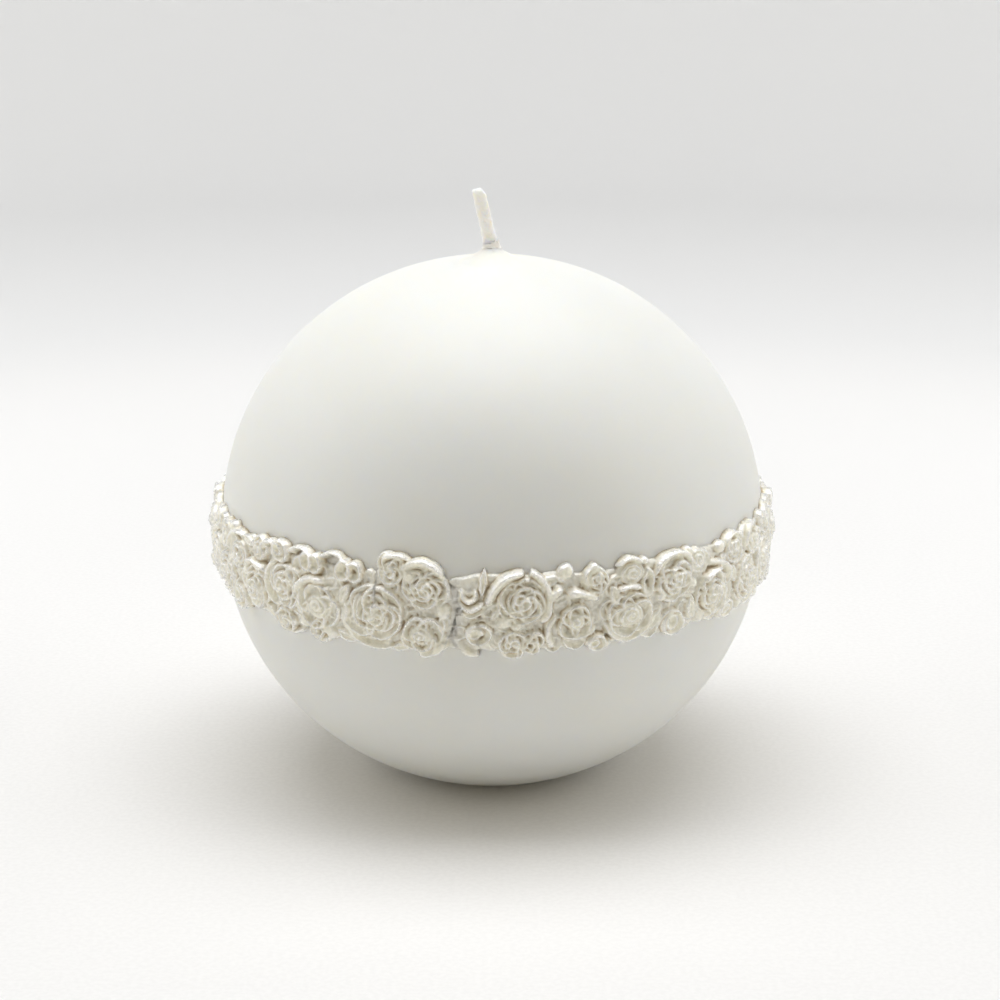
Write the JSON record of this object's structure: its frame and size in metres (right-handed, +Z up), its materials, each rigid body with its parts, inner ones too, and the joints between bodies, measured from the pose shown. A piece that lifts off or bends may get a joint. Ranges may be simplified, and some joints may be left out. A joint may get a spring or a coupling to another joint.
{
  "type": "unity candle",
  "caption": "Ball-shaped unity candle of white dipped wax, with a leaning cotton wick and a pearl-tinted garland of cast wax roses round its middle.",
  "frame": {"origin": "centre of the flat base, on the surface that the candle stands on", "axes": "+Z up through the wick's neck, -Y to the front, where the joint between the two garland strips lies just left of the middle, +X to the right seen from the front; the wick's free end leans to -X"},
  "size_m": [0.1264, 0.1262, 0.1302],
  "materials": {
    "core_wax": "satin",
    "dip_wax": "satin",
    "cotton": "matte",
    "fixing_wax": "satin",
    "tinplate": "satin",
    "sticky_wax": "satin",
    "pearl_wax": "gloss"
  },
  "bodies": {
    "root": {"core_ball": "core_wax", "overdip_coat": "dip_wax", "wick": "cotton", "wick_fixing_wax": "fixing_wax", "wick_sustainer": "tinplate", "garland_film_right": "sticky_wax", "garland_film_left": "sticky_wax", "garland_strip_right": "pearl_wax", "garland_strip_left": "pearl_wax"}
  },
  "joints": []
}
